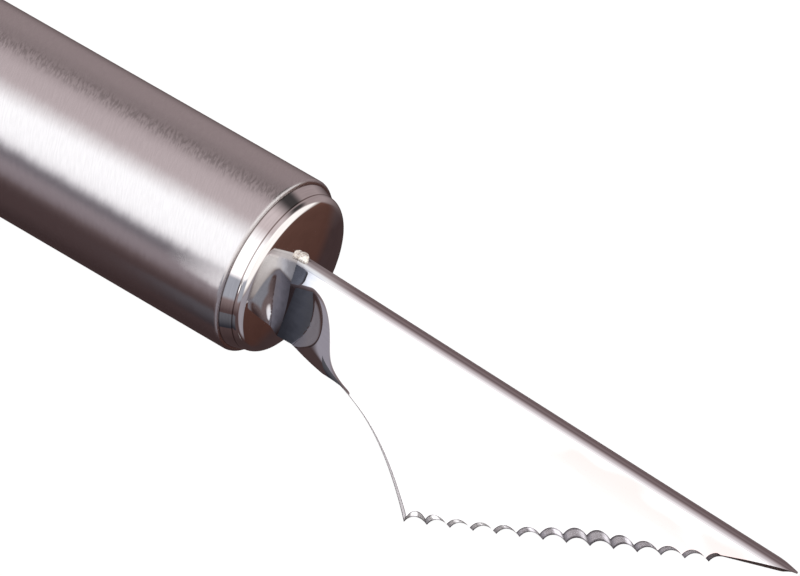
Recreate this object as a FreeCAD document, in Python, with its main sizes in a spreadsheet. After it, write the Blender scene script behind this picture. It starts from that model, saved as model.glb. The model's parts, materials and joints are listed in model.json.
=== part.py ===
"""Fruit carving knife: a round steel handle with end caps and a blade folded from one sheet.

Lengths are millimetres and angles are degrees. The knife is drawn along X, with the handle's
axis on the X axis, the front end of the tube at X = 0, the tip towards +X and the spine up. The
blade has a drawing of its own, with its fold along X, and leans a little in the knife. At the
end every piece gets the same placement, which lays the knife down on its two heels and on the
rear edge of the handle.
"""
import FreeCAD
import Part
import Sketcher
import math
import os

from FreeCAD import Placement, Rotation, Vector

SIZES = {
    # handle tube
    "handle_diameter": 22.0,
    "handle_wall": 0.8,
    "handle_length": 125.0,
    "rim_break": 0.45,
    # end caps
    "flange_step": 0.08,
    "shoulder_length": 1.54,
    "shoulder_drop": 0.52,
    "nose_round": 1.2,
    "dome_reach": 3.5,
    "dome_radius": 49.5,
    "spigot_length": 7.0,
    "spigot_wall": 1.2,
    "spigot_clearance": 0.05,
    "slot_clearance": 0.05,
    # blade sheet, its fold and its two half angles
    "sheet_thickness": 0.8,
    "fold_radius": 1.0,
    "fold_height": 3.25,
    "fold_fall": 3.85,
    "neck_half_angle": 11.0,
    "leaf_half_angle": 30.0,
    # neck and flare
    "root_depth": 3.0,
    "neck_reach": 7.3,
    "squeeze_depth": 1.15,
    "squeeze_radius": 2.7,
    "flare_start": 1.23,
    "flare_lean": 0.73,
    # outline of a leaf: reach along the fold, depth down the leaf from it
    "rear_edge_depth": 10.08,
    "rear_edge_start": 11.6,
    "rear_edge_bend": 19.5,
    "heel_reach": 27.85,
    "heel_depth": 20.27,
    "last_cusp_setback": 10.07,
    "last_cusp_depth": 3.94,
    "bare_edge_setback": 8.54,
    "bare_edge_depth": 2.64,
    "tip_reach": 73.2,
    "tip_drop": 0.15,
    # ground edges
    "scallop_count": 13,
    "wheel_radius": 2.34,
    "scallop_grind": 45.0,
    "bare_grind": 68.0,
    "heel_grind": 60.0,
    "heel_grind_width": 0.4,
    "heel_grind_share": 0.6,
    # weld bead
    "bead_radius": 0.6,
}
# Sections of the flare, as shares of the way from neck to leaf
FLARE_STATIONS = (0.0, 0.15, 0.3, 0.45, 0.6, 0.8, 1.0)
# A cutting tool reaches this far past what it cuts
OVERRUN = 2.0
# A tool that cuts one leaf goes this far in from its outer skin
LEAF_INSIDE = 5.0
# Lumps of the weld, in bead radii from the joint on top of the fold: along, across, up, radius
BEAD_LUMPS = ((0.55, 0.35, -0.15, 1.0), (1.15, 0.1, 0.1, 0.75), (0.4, 0.1, 0.55, 0.75))
NEAR, FAR = -1, 1
SIDE_NAMES = {NEAR: "near", FAR: "far"}

doc = FreeCAD.newDocument("fruit_carving_knife")


def fill_sheet():
    """The spreadsheet holds every driving size under its own name."""
    made = doc.addObject("Spreadsheet::Sheet", "sizes")
    for row, (name, value) in enumerate(SIZES.items(), start=1):
        made.set("A%d" % row, name)
        made.set("B%d" % row, str(value))
        made.setAlias("B%d" % row, name)
    doc.recompute()
    return made


sheet = fill_sheet()


def size(name):
    return float(sheet.get(name))


def angle(name):
    return math.radians(size(name))


def value_of(expression):
    return float(sheet.evalExpression(expression))


def keep(name, shape):
    """A shape that is made by formula, kept as an object of the document."""
    feature = doc.addObject("Part::Feature", name)
    feature.Shape = shape
    return feature


def cut(name, base, tool):
    """The base less the tool, as an object that follows both."""
    feature = doc.addObject("Part::Cut", name)
    feature.Base = base
    feature.Tool = tool
    feature.Refine = False
    doc.recompute()
    return feature


# Tube and caps: outlines turned about the handle's axis


def origin_plane(body, role):
    return next(f for f in body.Origin.OriginFeatures if f.Role == role)


def outline_sketch(body, name, corners, rounded=None):
    """A closed outline in the XZ plane, whose corners are pairs of expressions for X and Z.

    The side that starts at corner number `rounded` is a quarter circle down to the next corner.
    """
    sketch = body.newObject("Sketcher::SketchObject", name)
    sketch.AttachmentSupport = (origin_plane(body, "XZ_Plane"), [""])
    sketch.MapMode = "FlatFace"
    points = [Vector(value_of(x), value_of(z), 0) for x, z in corners]
    count = len(points)
    for i in range(count):
        start, end = points[i], points[(i + 1) % count]
        if i != rounded:
            sketch.addGeometry(Part.LineSegment(start, end), False)
            continue
        circle = Part.Circle(Vector(start.x, end.y, 0), Vector(0, 0, 1), end.x - start.x)
        sketch.addGeometry(Part.ArcOfCircle(circle, 0, math.pi / 2), False)
        sketch.addConstraint(Sketcher.Constraint("Vertical", i, 2, i, 3))
        sketch.addConstraint(Sketcher.Constraint("Horizontal", i, 1, i, 3))
    start_of = [2 if i == rounded else 1 for i in range(count)]
    for i in range(count):
        following = (i + 1) % count
        joined = Sketcher.Constraint("Coincident", i, 3 - start_of[i], following, start_of[following])
        sketch.addConstraint(joined)
    for i, corner in enumerate(corners):
        # the arc's centre and its start already give the height of its end
        sides = [(corner[0], "DistanceX", points[i].x, -2), (corner[1], "DistanceY", points[i].y, -1)]
        if rounded is not None and i == rounded + 1:
            sides = sides[:1]
        for expression, kind, value, axis in sides:
            if expression == "0":
                sketch.addConstraint(Sketcher.Constraint("PointOnObject", i, start_of[i], axis))
            else:
                rule = Sketcher.Constraint(kind, -1, 1, i, start_of[i], value)
                sketch.setExpression("Constraints[%d]" % sketch.addConstraint(rule), expression)
    return sketch


def turn(body, sketch):
    """The sketch turned a full turn about the X axis."""
    turned = body.newObject("PartDesign::Revolution", sketch.Name + "_turned")
    turned.Profile = sketch
    turned.ReferenceAxis = (sketch, ["H_Axis"])
    turned.Angle = 360.0
    doc.recompute()
    return turned


def break_rims(body, base, size_name, radius, places):
    """Breaks the circular rims of this radius that lie at these places along X."""
    rims = []
    for i, edge in enumerate(base.Shape.Edges, start=1):
        if edge.Degenerated or not isinstance(edge.Curve, Part.Circle):
            continue
        right_size = abs(edge.Curve.Radius - radius) < 1e-4
        if right_size and any(abs(edge.Curve.Center.x - x) < 1e-4 for x in places):
            rims.append("Edge%d" % i)
    chamfer = body.newObject("PartDesign::Chamfer", base.Name + "_broken")
    chamfer.Base = (base, rims)
    chamfer.setExpression("Size", "sizes." + size_name)
    body.Tip = chamfer
    doc.recompute()
    return chamfer


def make_tube():
    """The handle's tube, open at both ends, with its outer rims broken."""
    body = doc.addObject("PartDesign::Body", "handle_tube")
    outer = "sizes.handle_diameter / 2"
    inner = "sizes.handle_diameter / 2 - sizes.handle_wall"
    rear = "-sizes.handle_length"
    corners = [(rear, inner), ("0", inner), ("0", outer), (rear, outer)]
    turned = turn(body, outline_sketch(body, "tube_outline", corners))
    ends = (-size("handle_length"), 0.0)
    break_rims(body, turned, "rim_break", size("handle_diameter") / 2, ends)
    return body


def make_cap(name, plain):
    """A cap that looks towards +X: spigot, flange at the seam, sloped shoulder, nose and dome.

    The plain one is hollow from inside and its nose is a flat chamfer, the other's is round.
    """
    body = doc.addObject("PartDesign::Body", name + "_blank")
    spigot = "sizes.handle_diameter / 2 - sizes.handle_wall - sizes.spigot_clearance"
    flange = "sizes.handle_diameter / 2 - sizes.rim_break - sizes.flange_step"
    nose = flange + " - sizes.shoulder_drop"
    past_dome = "sizes.dome_reach + %s" % OVERRUN
    corners = [
        ("-sizes.spigot_length", spigot),
        ("0", spigot),
        ("0", flange),
        ("sizes.shoulder_length", nose),
        ("sizes.shoulder_length + sizes.nose_round", nose + " - sizes.nose_round"),
        (past_dome, nose + " - sizes.nose_round"),
        (past_dome, "0"),
    ]
    if plain:
        bore = spigot + " - sizes.spigot_wall"
        corners += [("0", "0"), ("0", bore), ("-sizes.spigot_length", bore)]
    else:
        corners += [("-sizes.spigot_length", "0")]
    turn(body, outline_sketch(body, name + "_outline", corners, rounded=None if plain else 3))
    dome = doc.addObject("Part::Sphere", name + "_dome")
    dome.setExpression("Radius", "sizes.dome_radius")
    middle = Vector(size("dome_reach") - size("dome_radius"), 0, 0)
    # turned so that the sphere's own seam stays off the cap
    dome.Placement = Placement(middle, Rotation(Vector(0, 0, 1), 180))
    cap = doc.addObject("Part::Common", name)
    cap.Base = body
    cap.Tool = dome
    cap.Refine = False
    doc.recompute()
    return cap


# Blade: the folded sheet, drawn with the centre of its fold on the X axis


def blade_placement():
    """Where the blade's own drawing lies in the knife's: up by the fold's height, tip falling."""
    return Placement(Vector(0, 0, size("fold_height")), Rotation(Vector(0, 1, 0), size("fold_fall")))


def skins(spare=0.0):
    """Fold radii of the outer and the inner skin, of a sheet that is thicker by a spare on both."""
    outer = size("fold_radius")
    return outer + spare, outer - size("sheet_thickness") - spare


def outward(half_angle):
    """The way out of a leg's skin, in the plane across the fold."""
    return Vector(0, math.cos(half_angle), math.sin(half_angle))


def downward(half_angle):
    return Vector(0, math.sin(half_angle), -math.cos(half_angle))


def leaf_point(run, radius):
    """A point of a leaf's skin, a run down from the fold, on the far side of the knife."""
    half_angle = angle("leaf_half_angle")
    return outward(half_angle) * radius + downward(half_angle) * run


def squeeze_centre():
    """The bend that squeezes the neck starts a little below the fold and turns about this centre."""
    start = leaf_point(size("squeeze_depth"), size("fold_radius"))
    return start - outward(angle("leaf_half_angle")) * size("squeeze_radius")


def leg_corners(share, leg, radius):
    """Start, corner and end of a leg's bend, and its foot, a share of the way from neck to leaf."""
    leaf_angle, neck_angle = angle("leaf_half_angle"), angle("neck_half_angle")
    half_bend = (leaf_angle - neck_angle) / 2
    bend_radius = size("squeeze_radius") - size("fold_radius") + radius
    tangent = bend_radius * math.tan(half_bend)
    centre, top = squeeze_centre(), size("squeeze_depth")
    neck = [
        centre + outward(leaf_angle) * bend_radius,
        centre + outward(leaf_angle - half_bend) * (bend_radius / math.cos(half_bend)),
        centre + outward(neck_angle) * bend_radius,
    ]
    neck.append(neck[-1] + downward(neck_angle) * (leg - top - 2 * tangent))
    leaf = [leaf_point(run, radius) for run in (top, top + tangent, top + 2 * tangent, leg)]
    opened = 1.0 - (1.0 - share) ** 2
    corners = [a + (b - a) * opened for a, b in zip(neck, leaf)]
    for corner in corners:
        corner.x = flare_place(share, corner.z)
    return corners


def flare_place(share, height):
    """Sections of the flare fan out below: they are square to the fold at the neck and then lean."""
    return size("neck_reach") + share * (size("flare_start") - size("flare_lean") * height)


def bend_edge(corners):
    """An arc at the neck, which flattens with the poles of the flare's sections."""
    bend = Part.BezierCurve()
    bend.setPoles(corners)
    half_bend = (angle("leaf_half_angle") - angle("neck_half_angle")) / 2
    bend.setWeight(2, math.cos(half_bend))
    return bend.toShape()


def leg_section(share, leg, spare=0.0):
    """The wire round a leg below its shoulder, cut across by one plane of the flare's fan."""
    outer, inner = (leg_corners(share, leg, radius) for radius in skins(spare))
    straight = [outer[2], outer[3], inner[3], inner[2]]
    edges = [bend_edge(outer[:3])]
    edges += [Part.LineSegment(a, b).toShape() for a, b in zip(straight, straight[1:])]
    edges += [bend_edge(inner[2::-1]), Part.LineSegment(inner[0], outer[0]).toShape()]
    return Part.Wire(edges)


def shoulder_strip(start, end, spare=0.0):
    """The fold and the sheet's shoulders on both sides of it, which keep one section all along."""
    outer, inner = skins(spare)
    to_far, to_near = outward(angle("leaf_half_angle")), outward(angle("leaf_half_angle"))
    to_near.y = -to_near.y
    foot = leaf_point(size("squeeze_depth"), outer)
    inner_foot = leaf_point(size("squeeze_depth"), inner)
    near_foot = Vector(0, -foot.y, foot.z)
    near_inner_foot = Vector(0, -inner_foot.y, inner_foot.z)
    up = Vector(0, 0, 1)
    edges = [
        Part.LineSegment(near_foot, to_near * outer).toShape(),
        Part.Arc(to_near * outer, up * outer, to_far * outer).toShape(),
        Part.LineSegment(to_far * outer, foot).toShape(),
        Part.LineSegment(foot, inner_foot).toShape(),
        Part.LineSegment(inner_foot, to_far * inner).toShape(),
        Part.Arc(to_far * inner, up * inner, to_near * inner).toShape(),
        Part.LineSegment(to_near * inner, near_inner_foot).toShape(),
        Part.LineSegment(near_inner_foot, near_foot).toShape(),
    ]
    face = Part.Face(Part.Wire(edges))
    face.translate(Vector(start, 0, 0))
    return face.extrude(Vector(end - start, 0, 0))


def neck_leg():
    return size("rear_edge_depth") + OVERRUN


def neck_legs(start, end, spare=0.0):
    """Both legs of the squeezed neck between two places along the fold."""
    face = Part.Face(leg_section(0.0, neck_leg(), spare))
    face.translate(Vector(start - size("neck_reach"), 0, 0))
    return both_sides(face.extrude(Vector(end - start, 0, 0)))


def both_sides(leg):
    return [leg, leg.mirror(Vector(0, 0, 0), Vector(0, 1, 0))]


def flare_legs():
    sections = [leg_section(share, neck_leg()) for share in FLARE_STATIONS]
    return both_sides(Part.makeLoft(sections, True, False))


def leaf_legs():
    """Both leaves below the shoulders, from the last plane of the flare's fan past the tip."""
    start, deep = size("neck_reach"), size("heel_depth") + OVERRUN
    outer, inner = skins()
    corners = [leaf_point(run, radius) for run, radius in (
        (size("squeeze_depth"), outer), (deep, outer), (deep, inner), (size("squeeze_depth"), inner),
    )]
    face = Part.Face(Part.makePolygon(corners + corners[:1]))
    face.translate(Vector(start, 0, 0))
    leaf = face.extrude(Vector(size("tip_reach") + OVERRUN - start, 0, 0))
    apex = size("flare_start") / size("flare_lean")
    behind = start - OVERRUN
    fan = [(behind, apex), (start, apex), (flare_place(1.0, -deep), -deep), (behind, -deep)]
    corners = [Vector(x, 0, z) for x, z in fan]
    wedge = Part.Face(Part.makePolygon(corners + corners[:1])).extrude(Vector(0, deep, 0))
    return both_sides(leaf.cut(wedge))


def make_sheet():
    """The folded strip before its edges are cut: shoulders, root and neck, flare, leaves."""
    start, end = -size("root_depth"), size("tip_reach") + OVERRUN
    strip = shoulder_strip(start, end)
    legs = neck_legs(start, size("neck_reach")) + flare_legs() + leaf_legs()
    return keep("folded_sheet", strip.fuse(legs).removeSplitter())


# Blade: the outline of its leaves and their ground edges


def skin_place(side, x, depth, inset=0.0):
    """A point on the plane of a leaf's skin, at a reach along the fold and a depth down from it."""
    point = leaf_point(depth, size("fold_radius") - inset)
    return Vector(x, side * point.y, point.z)


def inner_place(side, x, depth):
    return skin_place(side, x, depth, inset=size("sheet_thickness"))


def from_tip(setback):
    return size("tip_reach") - size(setback)


def outwards(side):
    """The unit normal of a leaf's outer skin."""
    origin = skin_place(side, 0.0, 0.0)
    along = skin_place(side, 1.0, 0.0) - origin
    down = skin_place(side, 0.0, 1.0) - origin
    return (along.cross(down) * side).normalize()


def rear_edge(side, spare=0.0):
    """The edge behind the heel: straight along the neck, then one curve down to the heel."""
    depth = size("rear_edge_depth") + spare
    corners = [
        (-size("root_depth") - OVERRUN, depth),
        (size("rear_edge_start"), depth),
        (size("rear_edge_bend"), depth),
        (size("heel_reach"), size("heel_depth")),
    ]
    root, start, bend, heel = (skin_place(side, x, t) for x, t in corners)
    curve = Part.BezierCurve()
    curve.setPoles([start, bend, heel])
    return [Part.LineSegment(root, start).toShape(), curve.toShape()]


def blank_cut(side, spare=0.0):
    """What a leaf's blank leaves out: all below its rear edge, its heel and its line of cusps."""
    deep = size("heel_depth") + 2 * OVERRUN
    first, last = -size("root_depth") - OVERRUN, from_tip("bare_edge_setback") + OVERRUN
    heel = skin_place(side, size("heel_reach"), size("heel_depth"))
    below_cusps = skin_place(side, last, size("last_cusp_depth"))
    corners = [heel, below_cusps, skin_place(side, last, deep), skin_place(side, first, deep)]
    edges = rear_edge(side, spare)
    corners.append(edges[0].valueAt(edges[0].FirstParameter))
    edges += [Part.LineSegment(a, b).toShape() for a, b in zip(corners, corners[1:])]
    face = Part.Face(Part.Wire(edges))
    way = outwards(side)
    face.translate(way * OVERRUN)
    return face.extrude(way * -(OVERRUN + LEAF_INSIDE))


def grind_way(side, line, grind):
    """The way a grinding wheel's rim points, from the outer skin inwards and off the edge."""
    out = outwards(side)
    off_edge = out.cross(line).normalize()
    if off_edge.dot(skin_place(side, 0.0, 1.0) - skin_place(side, 0.0, 0.0)) < 0:
        off_edge = off_edge * -1
    return off_edge, off_edge * math.cos(grind) - out * math.sin(grind)


def flat_grind(side, start, end, grind):
    """A slab whose flat side runs from start to past end and leans by the grind angle."""
    line = (end - start).normalize()
    off_edge, way = grind_way(side, line, grind)
    end = end + line * OVERRUN
    reach = size("sheet_thickness") / math.sin(grind) + OVERRUN
    corners = [start, end, end + off_edge * 2 * OVERRUN, start + off_edge * 2 * OVERRUN]
    face = Part.Face(Part.makePolygon(corners + [start]))
    face.translate(way * -reach)
    return face.extrude(way * 2 * reach)


def heel_cut(side):
    """The flat that fades out along the rear edge above the heel."""
    curve = rear_edge(side)[1]
    first, last = curve.FirstParameter, curve.LastParameter
    upper = curve.valueAt(first + (last - first) * size("heel_grind_share"))
    heel = curve.valueAt(last)
    off_edge, way = grind_way(side, heel - upper, angle("heel_grind"))
    width = size("heel_grind_width")
    start, end = upper + off_edge * width / 2, heel - off_edge * width
    return flat_grind(side, start, end, angle("heel_grind"))


def tip_point():
    return Vector(size("tip_reach"), 0, size("fold_radius") - size("tip_drop"))


def tip_cut():
    """What lies past the tip, and well below the bare edge, on both leaves."""
    start = inner_place(NEAR, from_tip("bare_edge_setback"), size("bare_edge_depth"))
    tip = tip_point()
    past, deep, high = tip.x + 2 * OVERRUN, -2 * size("heel_depth"), tip.z + OVERRUN
    outline = [(start.x, start.z - OVERRUN), (tip.x, tip.z - OVERRUN / 2), (tip.x, high)]
    outline += [(past, high), (past, deep), (start.x, deep), (start.x, start.z - OVERRUN)]
    half_width = size("heel_depth")
    face = Part.Face(Part.makePolygon([Vector(x, -half_width, z) for x, z in outline]))
    return face.extrude(Vector(0, 2 * half_width, 0))


def bare_edge_cut(side):
    """The narrow flat along the bare edge, kept to its own side of the fold."""
    start = inner_place(side, from_tip("bare_edge_setback"), size("bare_edge_depth"))
    slab = flat_grind(side, start, tip_point(), angle("bare_grind"))
    half = Part.makeBox(2 * size("tip_reach"), size("heel_depth"), 4 * size("heel_depth"))
    half.translate(Vector(0, min(0, side) * size("heel_depth"), -2 * size("heel_depth")))
    return slab.common(half)


def scallop_wheels(side):
    """Leaning cylinders that meet in sharp cusps on the inner skin and leave bevels on the outer."""
    heel = inner_place(side, size("heel_reach"), size("heel_depth"))
    last_cusp = inner_place(side, from_tip("last_cusp_setback"), size("last_cusp_depth"))
    count = int(size("scallop_count"))
    step = (last_cusp - heel) * (1.0 / count)
    lean, radius = angle("scallop_grind"), size("wheel_radius")
    off_edge, way = grind_way(side, step, lean)
    drop = math.sqrt(radius ** 2 - (step.Length / 2) ** 2) / math.sin(lean)
    outer_reach = (size("sheet_thickness") + radius * math.cos(lean)) / math.sin(lean) + OVERRUN
    wheels = []
    # one wheel before the heel and one past the last cusp cut those two to a point
    for i in range(-1, count + 1):
        wheel = doc.addObject("Part::Cylinder", SIDE_NAMES[side] + "_wheel")
        wheel.setExpression("Radius", "sizes.wheel_radius")
        wheel.Height = outer_reach + 2 * OVERRUN
        middle = heel + step * (i + 0.5) + off_edge * drop
        wheel.Placement = Placement(middle - way * outer_reach, Rotation(Vector(0, 0, 1), way))
        wheels.append(wheel)
    doc.recompute()
    return wheels


def every_second(wheels, name):
    """Wheels next to each other overlap, so only every second one goes into one cut."""
    group = doc.addObject("Part::Compound", name)
    group.Links = wheels[::2]
    return group


def make_blade():
    """The folded sheet less all that its outline and its grinding take away."""
    blade = cut("pointed_sheet", make_sheet(), keep("past_the_tip", tip_cut()))
    for side, name in SIDE_NAMES.items():
        wheels = scallop_wheels(side)
        tools = [
            keep(name + "_blank_cut", blank_cut(side)),
            keep(name + "_heel_grind", heel_cut(side)),
            keep(name + "_bare_edge_grind", bare_edge_cut(side)),
            every_second(wheels, name + "_wheels"),
            every_second(wheels[1:], name + "_wheels_between"),
        ]
        for tool in tools:
            blade = cut("cut_by_" + tool.Name, blade, tool)
    blade.Label = "blade"
    blade.Placement = blade_placement()
    return blade


# Front cap with its slot, and the weld on top of the joint


def make_front_cap():
    """The cap with a slot that the blade's root fills but for a clearance."""
    spare = size("slot_clearance")
    start, end = -size("root_depth") - spare, size("dome_reach") + OVERRUN
    slot = shoulder_strip(start, end, spare).fuse(neck_legs(start, end, spare))
    for side in SIDE_NAMES:
        slot = slot.cut(blank_cut(side, spare))
    slot.Placement = blade_placement()
    cap = cut("slotted_cap", make_cap("plain_cap", False), keep("blade_slot", slot))
    cap.Label = "front_cap"
    return cap


def make_bead_lumps():
    """The molten lumps of the weld before they lie against blade and cap."""
    radius = size("bead_radius")
    joint = blade_placement().multVec(Vector(size("dome_reach"), 0, size("fold_radius")))
    lumps = []
    for along, across, up, share in BEAD_LUMPS:
        lump = doc.addObject("Part::Sphere", "bead_lump")
        lump.setExpression("Radius", "sizes.bead_radius * %s" % share)
        lump.Placement.Base = joint + Vector(along, across, up) * radius
        lumps.append(lump)
    joined = doc.addObject("Part::MultiFuse", "bead_lumps")
    joined.Shapes = lumps
    doc.recompute()
    return joined


# Rest, checks and files


def rest_placement(pieces):
    """Lays the knife on its two heels and on the rear rim of its handle, centred on the origin."""
    heel = blade_placement().multVec(inner_place(NEAR, size("heel_reach"), size("heel_depth")))
    rim = Vector(size("rim_break") - size("handle_length"), 0, -size("handle_diameter") / 2)
    nose_up = math.atan2(rim.z - heel.z, heel.x - rim.x)
    turned = Rotation(Vector(0, 1, 0), -math.degrees(nose_up))
    knife = Part.Compound([piece.Shape for piece in pieces])
    knife.Placement = Placement(Vector(0, 0, 0), turned)
    box = knife.optimalBoundingBox(False, False)
    return Placement(Vector(-box.Center.x, 0, -box.ZMin), turned)


def check(pieces):
    for made in doc.Objects:
        if "Invalid" in made.State or "Error" in made.State:
            raise RuntimeError("%s could not be computed" % made.Label)
    for piece in pieces:
        if piece.Shape.isNull() or not piece.Shape.isValid() or len(piece.Shape.Solids) != 1:
            raise RuntimeError("%s is not one valid solid" % piece.Label)


def write(pieces):
    os.makedirs("parts", exist_ok=True)
    for piece in pieces:
        piece.Shape.exportStep("parts/%s.step" % piece.Label)
        box = piece.Shape.optimalBoundingBox(False, False)
        print("%-12s %8.1f mm3, z %.2f to %.2f" % (piece.Label, piece.Shape.Volume, box.ZMin, box.ZMax))


def main():
    tube = make_tube()
    front_cap = make_front_cap()
    rear_cap = make_cap("rear_cap", True)
    blade = make_blade()
    lumps = make_bead_lumps()
    rear_cap.Placement = Placement(
        Vector(-size("handle_length"), 0, 0), Rotation(Vector(0, 0, 1), 180)
    )
    doc.recompute()
    rest = rest_placement([tube, front_cap, rear_cap, blade])
    for piece in (tube, front_cap, rear_cap, blade, lumps):
        piece.Placement = rest.multiply(piece.Placement)
    doc.recompute()
    bead = cut("weld_bead", cut("bead_on_blade", lumps, blade), front_cap)
    pieces = [tube, front_cap, rear_cap, blade, bead]
    check(pieces)
    write(pieces)
    rear_end = rest.multVec(Vector(-size("handle_length"), 0, 0))
    rearwards = rest.Rotation.multVec(Vector(-1, 0, 0))
    print("handle's rear end", rear_end, "its axis rearwards", rearwards)


if __name__ == "__main__":
    main()
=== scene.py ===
"""Looks of the fruit carving knife: brushed handle, polished caps, mirror-bright folded blade."""

import json
import math

import bpy
from mathutils import Matrix, Vector


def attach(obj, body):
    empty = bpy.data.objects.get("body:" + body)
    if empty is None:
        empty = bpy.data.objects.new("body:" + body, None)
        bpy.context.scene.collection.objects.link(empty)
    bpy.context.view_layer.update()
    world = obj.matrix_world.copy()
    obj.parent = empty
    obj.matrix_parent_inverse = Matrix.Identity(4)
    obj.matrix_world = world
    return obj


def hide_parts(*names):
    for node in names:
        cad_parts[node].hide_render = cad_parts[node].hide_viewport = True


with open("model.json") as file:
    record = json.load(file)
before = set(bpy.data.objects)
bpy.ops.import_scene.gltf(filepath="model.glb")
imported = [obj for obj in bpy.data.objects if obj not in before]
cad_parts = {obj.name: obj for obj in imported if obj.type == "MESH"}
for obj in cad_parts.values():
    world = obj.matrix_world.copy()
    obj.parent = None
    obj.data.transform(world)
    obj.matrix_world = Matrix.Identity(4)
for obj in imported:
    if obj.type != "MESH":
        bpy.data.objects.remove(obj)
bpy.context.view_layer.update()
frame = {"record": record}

MM = 0.001

# The handle's own frame, from its mount: +X of the drawing runs to the tip, the seam is at X = 0
handle = frame["record"]["mounts"][0]
HANDLE_LENGTH = 0.125
LONG = -Vector(handle["axis"]).normalized()
SEAM = Vector(handle["pos_m"]) + LONG * HANDLE_LENGTH / 2
ACROSS = Vector((0, 1, 0))
UP = LONG.cross(ACROSS)


def place(x, y, z):
    """A point of the knife's own drawing, in millimetres, as a place in the row frame."""
    return SEAM + (LONG * x + ACROSS * y + UP * z) * MM


def turned(x, y, z):
    return LONG * x + ACROSS * y + UP * z


# Camera

PHOTO_WIDTH, PHOTO_HEIGHT = 800, 576
PIXELS_PER_MM = 8.78
CAMERA_DISTANCE = 900.0
# The seam's middle is at this pixel of the photograph
SEAM_PIXEL = (275.5, 266.5)
TO_CAMERA = turned(0.416, -0.534, 0.735).normalized()
IMAGE_RIGHT = turned(0.787, 0.617, 0.003)


def make_camera():
    """A long lens whose middle pixel is the middle of the photograph."""
    right = (IMAGE_RIGHT - TO_CAMERA * IMAGE_RIGHT.dot(TO_CAMERA)).normalized()
    down = right.cross(TO_CAMERA)
    offset_right = (PHOTO_WIDTH / 2 - SEAM_PIXEL[0]) / PIXELS_PER_MM
    offset_down = (PHOTO_HEIGHT / 2 - SEAM_PIXEL[1]) / PIXELS_PER_MM
    aim = SEAM + (right * offset_right + down * offset_down) * MM
    spot = SEAM + TO_CAMERA * CAMERA_DISTANCE * MM
    backwards = (spot - aim).normalized()
    side = (right - backwards * right.dot(backwards)).normalized()
    upwards = backwards.cross(side)
    data = bpy.data.cameras.new("camera")
    data.sensor_width = 36.0
    data.lens = data.sensor_width * PIXELS_PER_MM * CAMERA_DISTANCE / PHOTO_WIDTH
    data.clip_start = 0.05
    data.clip_end = 20.0
    camera = bpy.data.objects.new("camera", data)
    turn = Matrix((side, upwards, backwards)).transposed().to_4x4()
    camera.matrix_world = Matrix.Translation(spot) @ turn
    bpy.context.scene.collection.objects.link(camera)
    bpy.context.scene.camera = camera


# Nodes


def new_material(name):
    material = bpy.data.materials.new(name)
    material.use_nodes = True
    nodes = material.node_tree.nodes
    nodes.clear()
    output = nodes.new("ShaderNodeOutputMaterial")
    shader = nodes.new("ShaderNodeBsdfPrincipled")
    material.node_tree.links.new(shader.outputs["BSDF"], output.inputs["Surface"])
    return material, material.node_tree, shader


def math_node(tree, operation, *values):
    node = tree.nodes.new("ShaderNodeMath")
    node.operation = operation
    for socket, value in zip(node.inputs, values):
        if isinstance(value, (int, float)):
            socket.default_value = value
        else:
            tree.links.new(value, socket)
    return node.outputs[0]


def vector_node(tree, operation, *values):
    node = tree.nodes.new("ShaderNodeVectorMath")
    node.operation = operation
    for socket, value in zip(node.inputs, values):
        if isinstance(value, (tuple, list, Vector)):
            socket.default_value = value
        else:
            tree.links.new(value, socket)
    return node.outputs["Value" if operation == "DOT_PRODUCT" else "Vector"]


def ramp_node(tree, factor, stops):
    node = tree.nodes.new("ShaderNodeValToRGB")
    elements = node.color_ramp.elements
    while len(elements) < len(stops):
        elements.new(0.5)
    for element, (place_on_ramp, colour) in zip(elements, stops):
        element.position = place_on_ramp
        element.color = (*colour, 1.0)
    tree.links.new(factor, node.inputs["Fac"])
    return node.outputs["Color"]


def range_node(tree, value, low, high, to_low=0.0, to_high=1.0):
    """A smooth step of a value between two levels."""
    node = tree.nodes.new("ShaderNodeMapRange")
    node.interpolation_type = "SMOOTHSTEP"
    tree.links.new(value, node.inputs["Value"])
    for name, level in (("From Min", low), ("From Max", high), ("To Min", to_low), ("To Max", to_high)):
        node.inputs[name].default_value = level
    return node.outputs["Result"]


def mix_node(tree, share, first, second, blend="MIX"):
    """Two colours mixed by a share, each a colour or the output of a node."""
    node = tree.nodes.new("ShaderNodeMix")
    node.data_type = "RGBA"
    node.blend_type = blend
    for socket, value in ((node.inputs[0], share), (node.inputs[6], first), (node.inputs[7], second)):
        if isinstance(value, (int, float)):
            socket.default_value = value
        elif isinstance(value, tuple):
            socket.default_value = (*value, 1.0)
        else:
            tree.links.new(value, socket)
    return node.outputs[2]


def noise_node(tree, vector, detail=2.0, roughness=0.5):
    node = tree.nodes.new("ShaderNodeTexNoise")
    node.inputs["Scale"].default_value = 1.0
    node.inputs["Detail"].default_value = detail
    node.inputs["Roughness"].default_value = roughness
    tree.links.new(vector, node.inputs["Vector"])
    return node.outputs["Fac"]


def combine_node(tree, *values):
    node = tree.nodes.new("ShaderNodeCombineXYZ")
    for socket, value in zip(node.inputs, values):
        if isinstance(value, (int, float)):
            socket.default_value = value
        else:
            tree.links.new(value, socket)
    return node.outputs[0]


# World: a dim brown room with a broad soft light in front and above


def to_ramp(elevation):
    """Elevation over the front horizon, through zenith and nadir to the back one, as 0 to 1."""
    return (elevation + 180.0) / 360.0


# The room as bands of even brightness: first and last elevation in degrees over the front horizon, and
# brightness. Between two bands it runs evenly from one to the other
BANDS = (
    (-135, -80, 0.06),  # floor behind and below
    (-55, -30, 0.10),  # floor in front
    (-9, -2, 0.33),  # lit table edge
    (7, 12, 0.055),  # dark gap over it
    (23, 62, 1.65),  # broad soft light
    (88, 110, 0.74),  # ceiling
    (138, 180, 0.41),  # wall behind, on to -168 below
)
WALL_BEHIND = BANDS[-1][2]
WALL_FOOT = -168

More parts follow.
